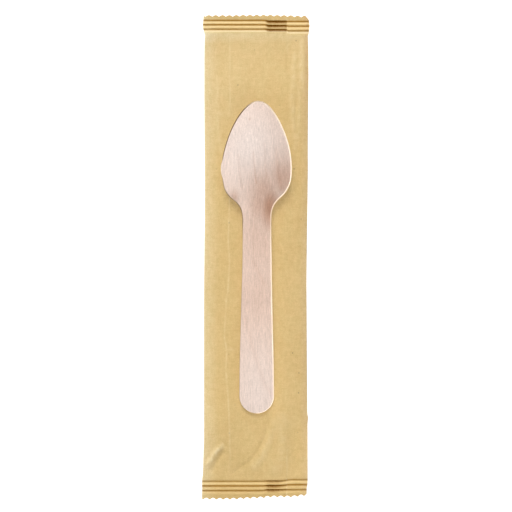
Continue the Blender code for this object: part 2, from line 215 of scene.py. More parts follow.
# Darker lines of the grain: places from end to end, half width and strength
GRAIN_LINES = (
    (((-1.3, 37), (-1.1, 34), (-0.6, 29), (-0.2, 26)), 0.22, 0.3),
    (((-4.0, -21.6), (-1.4, -32.1), (2.6, -44.4), (5.2, -48)), 0.7, 0.12),
    (((-1.4, -1.4), (2.6, -9.3)), 0.6, 0.12),
    (((6.6, 38), (7.4, 30), (8.6, 24)), 0.6, 0.15),
    (((2.6, 40), (2.9, 33), (3.4, 28)), 0.3, 0.15),
    (((-6.6, 36), (-6.2, 30), (-5.2, 24)), 0.35, 0.18),
)

# Colours, as linear red, green, blue and cover
PAPER = {
    "plain": (0.605, 0.43, 0.184, 1),
    "speck": (0.17, 0.10, 0.04, 1),
    # pale creases: partly rubbed paper, partly painted highlight
    "pale_crease_and_highlight": (0.78, 0.635, 0.37, 1),
    # painted highlight on the crimps' ridges
    "ridge": (0.86, 0.675, 0.34, 1),
    "inner_top_ridge": (0.82, 0.69, 0.42, 1),
    # dark grooves: partly the pressed paper's own colour, partly painted shade
    "groove": (0.41, 0.188, 0.02, 1),
    # grooves over the fin: darker from its extra layers, and painted shade
    "groove_over_fin": (0.15, 0.053, 0.001, 1),
}
# Tones of the paper, each laid over the ones before it: its colour, and where it starts and where it is full.
# That is across the sachet from -1 to 1, and along it in millimetres, either straight or on a slant.
PAPER_TONES = {
    # painted light: the right half a little lighter, to make up for the shade that the lamps give it
    "right": ((0.628, 0.446, 0.192, 1), {"across": (0.2, 0.8)}),
    # painted light: lighter towards the top
    "top": ((0.613, 0.445, 0.204, 1), {"slanted": (43, 74)}),
    # painted light: the left margin lighter, as it faces the light
    "left_margin_light": ((0.667, 0.517, 0.273, 1), {"across": (-0.72, -0.97)}),
    # painted shade and reflection: the right margin a little darker and bluer
    "right_margin": ((0.62, 0.445, 0.215, 1), {"across": (0.85, 0.98)}),
    # painted shade: darker at the top of the right margin
    "top_right_shade": ((0.575, 0.39, 0.18, 1), {"across": (0.9, 0.97), "along": (42, 64)}),
    # painted light: paler along the two folds
    "left_fold_light": ((0.73, 0.62, 0.40, 1), {"across": (-0.97, -0.998)}),
    "right_fold_light": ((0.62, 0.52, 0.36, 1), {"across": (0.985, 0.999)}),
}
TONE_SLANT = 18  # millimetres that the slant rises by in half the width
WOOD = {
    "darker": (0.59, 0.445, 0.365, 1),
    "lighter": (0.62, 0.475, 0.395, 1),
    "pale": (0.588, 0.50, 0.452, 1),
    "cut_edge": (0.95, 0.80, 0.64, 1),
    "shoulder_edge": (0.66, 0.51, 0.38, 1),
    "shaded_edge": (0.17, 0.09, 0.04, 1),
}
# What a colour is multiplied by, as red, green and blue
PAPER_SHADES = {
    "sealed": (0.985, 0.962, 0.885),
    # painted light above the bottom seal
    "foot_light": (1.08, 1.08, 1.08),
    "under_top_seal": (1.10, 1.20, 1.42),
    "darker": (0.87, 0.83, 0.72),
    "lighter": (1.12, 1.15, 1.25),
    "yellower": (0.995, 1.004, 1.0),
    "redder": (1.004, 0.993, 0.985),
}
# what the stains and the painted shade multiply the wood's colour by
STAINED_AND_SHADED_WOOD = (0.64, 0.465, 0.368)
# painted shade: the bottom seal darker
BOTTOM_SEAL_SHADE = 0.935
BOTTOM_SEAL_FADE = (-81, -70)
# painted light on the slope above the bottom seal, making up for the shade that the lamps give it
FOOT_AT = -66  # middle of a brighter stretch above the bottom seal
FOOT_FADE = (11, 3)
FOOT_LEFT = (-0.8, -0.2)
UNDER_SEAL_FADE = (75, 78.6)  # a paler strip under the top seal, weaker towards the right
UNDER_SEAL_END = (79.8, 79.2)
UNDER_SEAL_ACROSS = (-0.8, 0.5, 1, 0.6)
# painted highlight on the crimps' ridges: where the innermost top one lies, its fade, and how strong they are
INNER_RIDGE_AT = 79
INNER_RIDGE_FADE = (0.6, 1.2)
RIDGE_HIGHLIGHT_STRENGTH = 0.9
SHOULDER_EDGE_AT = 16  # middle of the stretch of the spoon's cut edge that is darker
SHOULDER_EDGE_FADE = (4, 13)

# Noise patterns: stretch across, along and up, then scale, detail, roughness and distortion. Some are taken
# from a low to a high value onto a new low and a new high.
PAPER_PATTERNS = {
    "clouds": ((1, 0.6, 1), 0.09, 3, 0.6, 0),
    "flocks": ((1, 1, 1), 0.6, 3, 0.6, 0),
    "fibres_along": ((2.4, 0.35, 1), 1, 3, 0.6, 0.4),
    "fibres_across": ((0.4, 2.2, 1), 1, 3, 0.6, 0.4),
    "grain": ((1, 1, 1), 3, 2, 0.7, 0),
    "tint": ((1, 0.7, 1), 0.25, 2, 0.6, 0, (0.4, 0.6, 0, 1)),
    # breaks up the pale creases and their painted highlight
    "pale_breaks": ((1, 0.6, 1), 0.7, 2, 0.6, 0, (0.35, 0.65, 0.25, 0.95)),
    "blotches": ((1, 1, 1), 1.1, 3, 0.6, 0, (0.3, 0.7, 0.84, 1.14)),
    "breaks": ((1, 1, 1), 2.4, 2, 0.6, 0, (0.35, 0.65, 0.62, 1)),
}
WOOD_PATTERNS = {
    "figure": ((0.25, 0.02, 0.25), 1, 2, 0.5, 0.6, (0.35, 0.65, 0, 1)),
    "streaks": ((2.2, 0.09, 1.5), 1, 3, 0.6, 0.3),
    "hairs": ((4, 0.35, 3), 1, 2, 0.6, 0.2),
    "grain": ((1, 1, 1), 2.2, 2, 0.6, 0),
}
# How much each pattern mottles the paper
PAPER_MOTTLE = {"clouds": 0.5, "flocks": 0.8, "fibres_along": 0.7, "fibres_across": 0.6, "grain": 1.3}
# How each pattern changes the wood's brightness, from low to high onto new low to new high
WOOD_SHADES = {
    "streaks": (0.3, 0.7, 0.945, 1.05),
    "hairs": (0.25, 0.75, 0.85, 1.15),
    "grain": (0.25, 0.75, 0.92, 1.08),
}
# From low to high, and onto new low to new high where these are given
OVER_FIN_RAMP = (0.1, 0.7)
PAPER_ROUGHNESS = (0.2, 0.8, 0.55, 0.7)
PAPER_GLOSS = (0.2, 0.9, 0.25, 0)  # the deeper a groove, the duller
WOOD_ROUGHNESS = (0.3, 0.7, 0.58, 0.72)
WOOD_GLOSS = 0.25
PAPER_RELIEF = {"grain": 0.5, "fibres_along": 1, "fibres_across": 0.7}
PAPER_RELIEF_HEIGHT = 0.00003
WOOD_RELIEF = {"hairs": 0.6, "streaks": 1}
WOOD_RELIEF_HEIGHT = 0.00004
RELIEF_STRENGTH = 0.6

# Mesh fineness
COLUMN_STEP = 0.0003
COLUMN_CLEARANCE = 0.6  # column steps that are kept free beside the fin's lines
FOLD_COLUMNS = (0.00002, 0.00006, 0.00012)
SKIRT_ROWS = 7
CRIMP_ROWS = 14
FINE_ROW_STEP = 0.0005
FINE_ROWS_END = 0.024
ROW_STEP = 0.0012
SAME_PLACE = 1e-7
SHARP_ANGLE = 50
OUTLINE_SPANS = {"bowl": 80, "shoulder": 56, "handle": 100, "end": 32}
SPOON_COLUMNS = 72
EDGE_SPANS = 6
SLOPE_STEP = 0.0001  # over which the veneer's slope is measured

# Camera and light. The picture is 512 pixels across.
PICTURE_WIDTH = 0.1798  # what it shows, at the object
PICTURE_CENTRE = (0.00014, 0.00053)
CAMERA_DISTANCE = 3.0
CAMERA_CLIP = (0.1, 20.0)
SENSOR_WIDTH = 36.0
SKY_STRENGTH = 0.18
HORIZON_BAND = (0.03, 0.16)  # heights between which the sky fades from its bright band to its strength
LIGHT_DISTANCE = 2.0
# Azimuth, elevation and spread in degrees, strength, the pieces that it lights and those that cast shadows
LIGHTS = {
    "overhead_light": (0, 90, 70, 1.37, ("sachet", "spoon", "floor"), ("sachet",)),
    "paper_light": (135, 37, 40, 0.72, ("sachet",), ("sachet",)),
    "shadow_light": (98, 45, 32, 1.7, ("sachet", "floor"), ("sachet", "spoon")),
    "spoon_overhead_light": (0, 90, 70, 0.9, ("spoon",), ("spoon",)),
    "spoon_light": (-55, 35, 40, 2.4, ("spoon",), ("spoon",)),
}
FLOOR_SIZE = 3.0
FLOOR_GREY = (0.5, 0.5, 0.5, 1)
FLOOR_GLOW = 0.9  # keeps the floor white, as in the photograph
FLOOR_ROUGHNESS = 0.9
WHITE = (1, 1, 1, 1)


def mix(a, b, share):
    return a + (b - a) * share


def ease(share):
    """0 to 1 with level ends."""
    share = np.clip(share, 0, 1)
    return share * share * (3 - 2 * share)


def shoulder(share):
    """0 to 1, steep at first and level at the end."""
    return 1 - (1 - np.clip(share, 0, 1)) ** 2


def bell(distance, half_width, power=2):
    return np.exp(-(np.abs(distance / half_width) ** power))


@dataclass
class SachetEnd:
    """One end of the sachet. Places on it are given by how far in they lie from the tooth tips."""

    side: int  # 1 at the top, -1 at the bottom
    skirt: float  # from the tooth tips to the first groove
    pitch: float  # of the crimps
    cut: tuple
    first_tip: float
    tooth_pitch: float
    tooth_depth: float
    # How far the outermost and the innermost crimp step inwards at the fin's fold, and at its free edge
    fin_steps: tuple
    step_run: float  # how long the step at the free edge is, in half widths
    corner_cut: tuple  # how much of the right corner is worn off, across and along
    # darkness of the grooves: partly pressed paper, partly painted shade
    press_and_shade: tuple  # how dark each groove is, from the outermost
    shine: tuple  # how bright the ridge beside each groove is
    fin_fade: float  # how far the darkness over the fin fades towards its free edge

    def __post_init__(self):
        outer, inner = (STEEP_FLANK, GENTLE_FLANK) if self.side > 0 else (GENTLE_FLANK, STEEP_FLANK)
        self.seal_start = self.skirt - outer * self.pitch
        self.seal_end = self.skirt + (CRIMPS - 1 + inner) * self.pitch

    def insets(self):
        """Where the rows of the mesh lie, from the teeth to the middle of the sachet."""
        skirt = np.linspace(0, self.seal_start, SKIRT_ROWS, endpoint=False)
        seal = np.linspace(self.seal_start, self.seal_end, CRIMPS * CRIMP_ROWS, endpoint=False)
        fine = np.arange(self.seal_end, FINE_ROWS_END, FINE_ROW_STEP)
        spans = round((HALF_LENGTH - FINE_ROWS_END) / ROW_STEP)
        body = np.linspace(FINE_ROWS_END, HALF_LENGTH, spans + 1)
        return np.concatenate([skirt, seal, fine, body])[:, None]

    def pillow(self, inset):
        """0 in the seal, 1 where the pillow is at its full thickness."""
        return ease((inset - self.seal_end) / PILLOW_RISE)

    def tooth(self, x):
        """How far the cut lies in from the tooth tips."""
        phase = (x - self.first_tip) / self.tooth_pitch
        from_tip = np.abs(phase - np.round(phase))
        rounded = 1 - np.cos(math.pi * from_tip) if self.side > 0 else np.sin(math.pi * from_tip)
        return self.tooth_depth * rounded

    def droop(self, inset, across):
        """How far the seal, on its right side, and the cut have bent inwards."""
        inwards = ease((inset - self.skirt) / (2 * self.pitch))
        at_fold, at_free_edge = (mix(outer, inner, inwards) for outer, inner in self.fin_steps)
        free_edge = (FIN_ROOT + FIN_WIDTH) / (SEAL_WIDTH / 2)
        seal = at_fold * ease((across - FIN_STEP_AT) / FIN_STEP_RUN + 0.5)
        seal = seal + at_free_edge * ease((across - free_edge) / self.step_run + 0.5)
        seal = seal * (1 - self.pillow(inset))
        cut = along_edge(self.cut, across * SEAL_WIDTH / 2)
        return mix(cut, seal, ease(inset / self.seal_start))

    def groove_place(self, y, across):
        """Where a place lies in its crimp, in pitches towards -Y of the groove, and the crimp's number."""
        nearest = np.full(np.broadcast(y, across).shape, OUTSIDE_CRIMPS)
        crimp = np.zeros(nearest.shape, dtype=int)
        for number in range(CRIMPS):
            inset = self.skirt + number * self.pitch
            groove = self.side * (HALF_LENGTH - inset - self.droop(inset, across))
            from_groove = (groove - y) / self.pitch
            inside = (from_groove >= -STEEP_FLANK) & (from_groove < GENTLE_FLANK)
            nearest = np.where(inside, from_groove, nearest)
            crimp = np.where(inside, number, crimp)
        return nearest, crimp

    def fin_darkness(self, position):
        """How far the grooves over the fin are darkened, 0 to 1: partly its extra layers, partly painted
        shade.
        """
        fading = self.fin_fade * ease((position - FIN_DARK_FADE) / (1 - FIN_DARK_FADE))
        return ease((position - FIN_DARK_START) / FIN_DARK_RUN) * (1 - fading) * (position < 1)


TOP_END = SachetEnd(
    side=1, skirt=0.00205, pitch=0.00153, cut=TOP_CUT, first_tip=-0.0164, tooth_pitch=0.0024,
    tooth_depth=0.00058, fin_steps=((0.00036, 0.00017), (0.00002, 0.00043)), step_run=0.04,
    corner_cut=(0.0013, 0.0014), press_and_shade=(0.76, 0.8, 0.64), shine=(0.8, 0.72, 0.8), fin_fade=0.1)
BOTTOM_END = SachetEnd(
    side=-1, skirt=0.00285, pitch=0.00165, cut=BOTTOM_CUT, first_tip=-0.0185, tooth_pitch=0.002375,
    tooth_depth=0.00068, fin_steps=((0.00035, 0.0001), (0, 0.00046)), step_run=0.25,
    corner_cut=(0.001, 0.0013), press_and_shade=(0.62, 0.76, 0.42), shine=(0.2, 0.2, 0.42), fin_fade=0.75)


def along_edge(points, place):
    """The value that a list of (place, value) pairs, both in millimetres, has at each place."""
    places, values = zip(*sorted(points))
    return np.interp(place, np.array(places) * MM, np.array(values) * MM)


def side_edges(y):
    """The x of the left and of the right side fold."""
    middle = LEAN / 2 * y / HALF_LENGTH
    left = middle - SEAL_WIDTH / 2 + along_edge(DRAWN_IN_LEFT, y)
    right = middle + SEAL_WIDTH / 2 - along_edge(DRAWN_IN_RIGHT, y)
    return left, right + EDGE_BUMP_SIZE * bell(y - EDGE_BUMP_AT, EDGE_BUMP_RUN)


def from_path(x, y, points):
    """Distance from a path, and the share of the way along it."""
    corners = np.array(points) * MM
    steps = np.hypot(*np.diff(corners, axis=0).T)
    starts = np.concatenate([[0], np.cumsum(steps)])
    nearest = np.full(x.shape, 1.0)
    share = np.zeros(x.shape)
    for number, length in enumerate(steps):
        run = (corners[number + 1] - corners[number]) / length
        along = (x - corners[number, 0]) * run[0] + (y - corners[number, 1]) * run[1]
        along = np.clip(along, 0, length)
        away = np.hypot(x - corners[number, 0] - along * run[0], y - corners[number, 1] - along * run[1])
        closer = away < nearest
        nearest = np.where(closer, away, nearest)
        share = np.where(closer, (starts[number] + along) / starts[-1], share)
    return nearest, share


def wrinkles(x, y):
    """Height and paleness that the folds and waves of the front add at each place."""
    height = np.zeros(x.shape)
    pale = np.zeros(x.shape)
    for points, half_width, rise, pale_crease_and_highlight in WRINKLES.values():
        away, share = from_path(x, y, points)
        strength = bell(away, half_width * MM) * np.sqrt(np.clip(8 * share * (1 - share), 0, 1))
        height += rise * MM * strength
        pale = np.maximum(pale, pale_crease_and_highlight * strength)
    for rise, across, along, phase in SWELLS:
        height += rise * MM * np.sin(2 * math.pi * (x / across + y / along) / MM + phase)
    return height, pale


def fin_position(x):
    """0 at the fin's fold, 1 at its free edge."""
    return (x - FIN_ROOT) / FIN_WIDTH


def fold_round(from_fold, radius):
    """Half the thickness of the tube close to its side fold, which is round."""
    share = np.clip(from_fold / radius, 0, 1)
    return radius * np.sqrt(1 - (1 - share) ** 2)


def sachet_columns():
    """Places across from -1 at the left fold to 1 at the right one, and the numbers of the fin's columns."""
    count = round(SEAL_WIDTH / COLUMN_STEP)
    even = np.linspace(-1, 1, count + 1)
    half = SEAL_WIDTH / 2
    fin_end = FIN_ROOT + FIN_WIDTH
    fin_lines = np.array([FIN_ROOT, FIN_ROOT + FIN_FOLD, fin_end, fin_end + FIN_FOLD / 2]) / half
    fin_lines = np.insert(fin_lines, 2, fin_lines[2] - COLUMN_STEP / half)
    clearance = COLUMN_CLEARANCE * COLUMN_STEP / half
    clear = [place for place in even if np.abs(place - fin_lines).min() > clearance]
    clear = [place for place in clear if not fin_lines[0] < place < fin_lines[1]]
    near_folds = [side * (1 - inset / half) for side in (-1, 1) for inset in FOLD_COLUMNS]
    columns = np.array(sorted(clear + near_folds + list(fin_lines)))
    root = int(np.argmin(np.abs(columns - fin_lines[0])))
    free = int(np.argmin(np.abs(columns - fin_lines[3])))
    return columns, root, free


COLUMNS, FIN_FIRST, FIN_LAST = sachet_columns()
FLAP = slice(FIN_FIRST + 1, FIN_LAST + 1)


def seen_from_above(end, level):
    """The x and y of the points of one end, and how far they lie from the nearest side fold."""
    left, right = side_edges(end.side * (HALF_LENGTH - level))
    x = left + (right - left) * (COLUMNS + 1) / 2
    reach, depth = end.corner_cut
    worn = np.clip(1 - level / depth, 0, 1) ** 2
    x = x - worn * reach * np.clip((COLUMNS - CORNER_WEAR_AT) / (1 - CORNER_WEAR_AT), 0, 1) ** 2
    in_teeth = np.clip(1 - level / end.seal_start, 0, 1)
    y = end.side * (HALF_LENGTH - level - end.droop(level, COLUMNS) - end.tooth(x) * in_teeth)
    from_fold = np.minimum(x - left, right - x)
    return x, y, np.where(np.abs(COLUMNS) == 1, 0, np.maximum(from_fold, 0))


def crimped_level(place, over_fin):
    """Height of the seal's middle, which is pressed down into grooves."""
    gentle = 0.5 + 0.5 * np.cos(math.pi * place / GENTLE_FLANK)
    steep = 0.5 + 0.5 * np.cos(math.pi * place / STEEP_FLANK)
    groove = np.where(place > 1, 0, np.where(place > 0, gentle, steep))
    return SEAL_LEVEL - CRIMP_DEPTH * groove * (1 + DEEPER_OVER_FIN * over_fin)


def tube_front(from_fold):
    radius = FOLD_THICKNESS / 2
    rise = PACK_THICKNESS - FOLD_LEVEL - radius
    return FOLD_LEVEL + fold_round(from_fold, radius) + rise * shoulder(from_fold / FRONT_SHOULDER)


def tube_back(from_fold):
    radius = FOLD_THICKNESS / 2
    fall = FOLD_LEVEL - radius
    return FOLD_LEVEL - fold_round(from_fold, radius) - fall * shoulder(from_fold / BACK_SHOULDER)


def fin_heights(back, pillow):
    """Heights of the back, which makes room for the fin, and of the two sides of the fin."""
    position = fin_position(COLUMNS * SEAL_WIDTH / 2)
    gap = SEALED_GAP + FIN_GAP * pillow * np.clip(position, 0, 1)
    past = (position - 1) * FIN_WIDTH
    release = 1 - ease((past - FIN_FOLD / 2) / FIN_RELEASE)
    lift = (FIN_THICKNESS + gap) * pillow * release
    back = back + np.where(np.arange(len(COLUMNS)) > FIN_FIRST, lift, 0)
    fin_top = (back - gap)[:, FLAP]
    fin_top[:, 0] = back[:, FIN_FIRST + 1]
    fin_under = (back - gap - FIN_THICKNESS)[:, FLAP]
    return back, fin_top, fin_under


def seal_marks(end, x, level, place, crimp):
    """How strongly the grooves and ridges show, where the seal is, and where the fin lies under it."""
    in_seal = 1 - ease((level - end.seal_end) / SEAL_FADE)
    fin_zone = end.fin_darkness(fin_position(x)) * in_seal
    in_crimp = place < OUTSIDE_CRIMPS
    groove_spread = mix(GROOVE_SPREAD, GROOVE_SPREAD_OVER_FIN, fin_zone)
    # the grooves' darkness is partly painted shade; the ridges' brightness is painted highlight
    return {
        "groove": np.take(end.press_and_shade, crimp) * bell(place + GROOVE_SHIFT, groove_spread) * in_crimp,
        "ridge": np.take(end.shine, crimp) * bell(place - RIDGE_SHIFT, RIDGE_SPREAD) * in_crimp,
        "fin_zone": fin_zone,
        "seal": in_seal,
    }


def sachet_grid(end):
    """Places and surface marks of one end of the sachet, as arrays of rows by columns."""
    level = end.insets() + 0 * COLUMNS
    x, y, from_fold = seen_from_above(end, level)
    pillow = end.pillow(level)
    place, crimp = end.groove_place(y, COLUMNS)
    position = fin_position(x)
    over_fin = ease((position - FIN_MARK_START) / FIN_MARK_RUN) * (position < FIN_MARK_END)
    seal = crimped_level(place, over_fin)
    front_seal = seal + fold_round(from_fold, SEAL_THICKNESS / 2) + FIN_THICKNESS / 2 * over_fin
    back_seal = seal - fold_round(from_fold, SEAL_THICKNESS / 2)
    raised, pale = wrinkles(x, y)
    inner = ease(from_fold / SMOOTH_MARGIN) * ease((level - end.seal_end) / SMOOTH_END)
    front = mix(front_seal, tube_front(from_fold), pillow) + raised * inner
    back = mix(back_seal, tube_back(from_fold), pillow)
    back, fin_top, fin_under = fin_heights(back, pillow)

    marks = seal_marks(end, x, level, place, crimp)
    free_edge = bell(x - FIN_ROOT - FIN_WIDTH, FIN_EDGE_MARK) * marks["seal"]
    marks["pale"] = np.maximum(pale * inner, FIN_EDGE_PALENESS * free_edge)
    marks["across"] = COLUMNS + 0 * level
    return {"x": x, "y": y, "front": front, "back": back, "fin_top": fin_top, "fin_under": fin_under, **marks}


def add_points(mesh, layers, places, marks):
    """A row of new points of a mesh, with their marks."""
    made = []
    for number, place in enumerate(places):
        point = mesh.verts.new(place)
        for name, layer in layers.items():
            point[layer] = marks[name][number]
        made.append(point)
    return made


def add_grid(mesh, layers, grid, height, span=slice(None)):
    """Rows of new points at one of the grid's heights, which has only the columns in span."""
    rows = []
    for row, heights in enumerate(grid[height]):
        places = zip(grid["x"][row, span], grid["y"][row, span], heights)
        rows.append(add_points(mesh, layers, places, {name: grid[name][row, span] for name in layers}))
    return rows


def add_quads(mesh, grid, first, last, faces_up):
    """Faces between neighbouring rows of a grid, from one column to another."""
    for upper, lower in zip(grid, grid[1:]):
        for left in range(first, last):
            corners = (upper[left], lower[left], lower[left + 1], upper[left + 1])
            mesh.faces.new(corners if faces_up else corners[::-1])


def add_fin_sides(mesh, back, fin_top, fin_under):
    """Faces that join the fin to the back at its fold and close its free edge."""
    for row in range(len(back) - 1):
        below = row + 1
        at_fold = (back[row][FIN_FIRST], fin_under[row][0], fin_under[below][0], back[below][FIN_FIRST])
        mesh.faces.new(at_fold)
        mesh.faces.new((fin_under[row][-1], fin_top[row][-1], fin_top[below][-1], fin_under[below][-1]))


def add_cut_end(mesh, front, back, fin_top, fin_under, turn):
    """Faces that close a cut end, between its rows of points. turn is 1 at the top and -1 at the bottom."""
    for left in range(len(front) - 1):
        lower = [back[left + 1], back[left]]
        if left == FIN_FIRST:
            lower.insert(1, fin_under[0])
        mesh.faces.new((front[left : left + 2] + lower)[::turn])
    for left in range(len(fin_top) - 1):
        lower = [fin_under[left + 1], fin_under[left]]
        mesh.faces.new((fin_top[left : left + 2] + lower)[::turn])


def sachet_mesh():
    """The sachet as one closed skin: front, back, side folds, cut ends and the fin on the back."""
    top, bottom = sachet_grid(TOP_END), sachet_grid(BOTTOM_END)
    grid = {name: np.vstack([top[name], bottom[name][-2::-1]]) for name in top}
    mesh = bmesh.new()
    marks = ("groove", "ridge", "fin_zone", "pale", "across", "seal")
    layers = {name: mesh.verts.layers.float.new(name) for name in marks}
    front = add_grid(mesh, layers, grid, "front")
    back = add_grid(mesh, layers, grid, "back")
    fin_top = add_grid(mesh, layers, grid, "fin_top", FLAP)
    fin_under = add_grid(mesh, layers, grid, "fin_under", FLAP)
    last = len(COLUMNS) - 1
    fin_last = FIN_LAST - FIN_FIRST - 1
    add_quads(mesh, front, 0, last, True)
    add_quads(mesh, back, 0, FIN_FIRST, False)
    add_quads(mesh, back, FIN_FIRST + 1, last, False)
    add_quads(mesh, fin_top, 0, fin_last, True)
    add_quads(mesh, fin_under, 0, fin_last, False)
    add_fin_sides(mesh, back, fin_top, fin_under)
    for row, turn in ((0, 1), (-1, -1)):
        add_cut_end(mesh, front[row], back[row], fin_top[row], fin_under[row], turn)
    bmesh.ops.remove_doubles(mesh, verts=mesh.verts, dist=SAME_PLACE)
    bmesh.ops.recalc_face_normals(mesh, faces=mesh.faces)
    return finished(mesh, "kraft_sachet")


def curve(start, start_handle, end_handle, end, part):
    """Points on a Bezier curve, without its first."""
    t = np.linspace(0, 1, OUTLINE_SPANS[part] + 1)[1:, None]
    corners = [np.array(corner) for corner in (start, start_handle, end_handle, end)]
    weights = ((1 - t) ** 3, 3 * t * (1 - t) ** 2, 3 * t**2 * (1 - t), t**3)
    return sum(weight * corner for weight, corner in zip(weights, corners))


def spoon_outline():
    """Half of the spoon's outline, as distances from the tip and half widths, from the tip to the end."""
    bowl, neck, handle = BOWL_WIDTH / 2, NECK_WIDTH / 2, HANDLE_WIDTH / 2
    tip, widest, narrowest = (0, 0), (BOWL_WIDEST_AT, bowl), (NECK_AT, neck)
    end = SPOON_LENGTH - handle
    turn = np.linspace(0, math.pi / 2, OUTLINE_SPANS["end"] + 1)[1:, None]
    points = np.vstack([
        tip,
        curve(tip, (0, TIP_ROUND), (BOWL_WIDEST_AT - BOWL_ROUND, bowl), widest, "bowl"),
        curve(widest, (BOWL_WIDEST_AT + SHOULDER_ROUND, bowl), (NECK_AT - NECK_ROUND, neck), narrowest,
              "shoulder"),
        curve(narrowest, (NECK_AT + HANDLE_TAPER_START, neck), (end - HANDLE_TAPER_END, handle),
              (end, handle), "handle"),
        np.hstack([end + handle * np.sin(turn), handle * np.cos(turn)]),
    ])
    points[-1] = (SPOON_LENGTH, 0)
    return points


OUTLINE = spoon_outline()


def outline_directions():
    """Outward direction at each point of the outline."""
    along = OUTLINE[2:] - OUTLINE[:-2]
    outward = np.stack([-along[:, 1], along[:, 0]], axis=1)
    outward /= np.hypot(outward[:, 0], outward[:, 1])[:, None]
    return np.vstack([[-1.0, 0.0], outward, [1.0, 0.0]])


OUTWARD = outline_directions()


def outline_width(along):
    return np.interp(along, OUTLINE[:, 0], OUTLINE[:, 1])


def spoon_height(along, across):
    """Height of the middle of the veneer. The rim of the bowl and the neck lie at nothing."""
    deepening = shoulder(along / BOWL_DEEPEST_AT)
    fade = np.clip((along - BOWL_DEEPEST_AT) / (BOWL_FADE_END - BOWL_DEEPEST_AT), 0, 1)
    fading = np.cos(math.pi / 2 * fade) ** 2
    hollow = BOWL_DEPTH * np.where(along < BOWL_DEEPEST_AT, deepening, fading)
    dish = -hollow * (1 - (across / np.maximum(outline_width(along), SAME_PLACE)) ** 2)
    arch = np.sin(math.pi * np.clip(along - NECK_AT, 0, None) / (SPOON_LENGTH - NECK_AT))
    return dish + HANDLE_BOW * arch**2


def handle_lean(along, across, level):
    """How far the leaning cut edge of the handle lies further left, and further from the end, at a level."""
    lean = HANDLE_LEAN * (level + HANDLE_LEAN_LEVEL * SPOON_THICKNESS)
    across_share = across / np.maximum(outline_width(along), SLOPE_STEP)
    at_right = np.clip((across_share - 1 + HANDLE_LEAN_RUN) / HANDLE_LEAN_RUN, 0, 1) ** 2
    at_end = np.clip(1 - (SPOON_LENGTH - along) / HANDLE_END_RUN, 0, 1) ** 2
    on_handle = ease((along - HANDLE_LEAN_START) / (BOWL_FADE_END - HANDLE_LEAN_START))
    return lean * at_right * on_handle * (1 - at_end), lean * at_end / 2


def veneer_points(along, across, level):
    """Points of the pressed veneer, at a level above the middle of its thickness and square to it."""
    step = SLOPE_STEP
    inside = np.clip(along, step, SPOON_LENGTH - step)
    rise_along = spoon_height(inside + step, across) - spoon_height(inside - step, across)
    rise_across = spoon_height(inside, across + step) - spoon_height(inside, across - step)
    slope_along = np.clip(rise_along / (2 * step), -STEEPEST_EDGE, STEEPEST_EDGE)
    slope_across = np.clip(rise_across / (2 * step), -STEEPEST_LEFT_EDGE, STEEPEST_EDGE)
    length = np.sqrt(1 + slope_along**2 + slope_across**2)
    left, inwards = handle_lean(inside, across, level)
    x = across - slope_across / length * level + along_edge(SKEW, along) - left
    y = SPOON_LENGTH / 2 - along + slope_along / length * level + inwards
    z = spoon_height(inside, across) + level / length
    return np.stack([x, y, z], axis=-1)


def patches(x, y, places):
    """Strongest of some soft oval patches at each point."""
    strength = np.zeros(x.shape)
    for middle_x, middle_y, half_width, half_length, full in places:
        away = np.hypot((x / MM - middle_x) / half_width, (y / MM - middle_y) / half_length)
        strength = np.maximum(strength, full * bell(away, 1))
    return strength


def grain_lines(x, y):
    strength = np.zeros(x.shape)
    for points, half_width, full in GRAIN_LINES:
        away, _ = from_path(x, y, points)
        strength = np.maximum(strength, full * bell(away, half_width * MM))
    return strength


def edge_rings():
    """How far in from the outline and how high each ring of the rounded cut edge lies, from the top down."""
    half = SPOON_THICKNESS / 2
    turn = np.linspace(0, math.pi / 2, EDGE_SPANS + 1)
    upper = list(zip(SPOON_EDGE_RADIUS * (1 - np.sin(turn)), half - SPOON_EDGE_RADIUS * (1 - np.cos(turn))))
    return upper + [(inset, -level) for inset, level in reversed(upper)]


def add_wood(mesh, layers, points, cut_edge, edge_shade):
    """New points of the spoon, with their marks."""
    x, y = points[:, 0], points[:, 1]
    marks = {
        "cut_edge": np.full(len(points), cut_edge),
        "edge_shade": edge_shade,
        # darker and paler patches: stains and grain, with painted shade and painted light
        "stain_and_shade": patches(x, y, STAINS_AND_SHADE) + grain_lines(x, y),
        "pale": patches(x, y, PALE_PATCHES),
    }
    return add_points(mesh, layers, points, marks)


def add_ring(mesh, layers, inset, level):
    """One ring of the cut edge, down the right side of the spoon and up its left."""
    count = len(OUTLINE)
    order = list(range(count)) + list(range(count - 2, 0, -1))
    side = np.array([1.0] * count + [-1.0] * (count - 2))
    half = SPOON_THICKNESS / 2
    along = OUTLINE[order, 0] - inset * OUTWARD[order, 0]
    width = np.maximum(OUTLINE[order, 1] - inset * OUTWARD[order, 1], 0)
    points = veneer_points(along, side * width, level)
    sliver = SPLINTER_SIZE * bell(along - SPLINTER_AT, SPLINTER_RUN, 4)
    points[:, 0] -= sliver * (side < 0) * (level > -half / 2)
    cut_edge = min(1.0, (half - abs(level)) / (CUT_EDGE_FADE * SPOON_EDGE_RADIUS))
    bright_sliver = bell(along - SPLINTER_AT, SPLINTER_RUN)
    shaded = along_edge(EDGE_DARKNESS, along) / MM * (side < 0) * (1 - bright_sliver)
    below = UNDERSIDE_SHADE * (level < 0) * (inset > 0)
    return add_wood(mesh, layers, points, cut_edge, np.maximum(cut_edge * shaded, below))


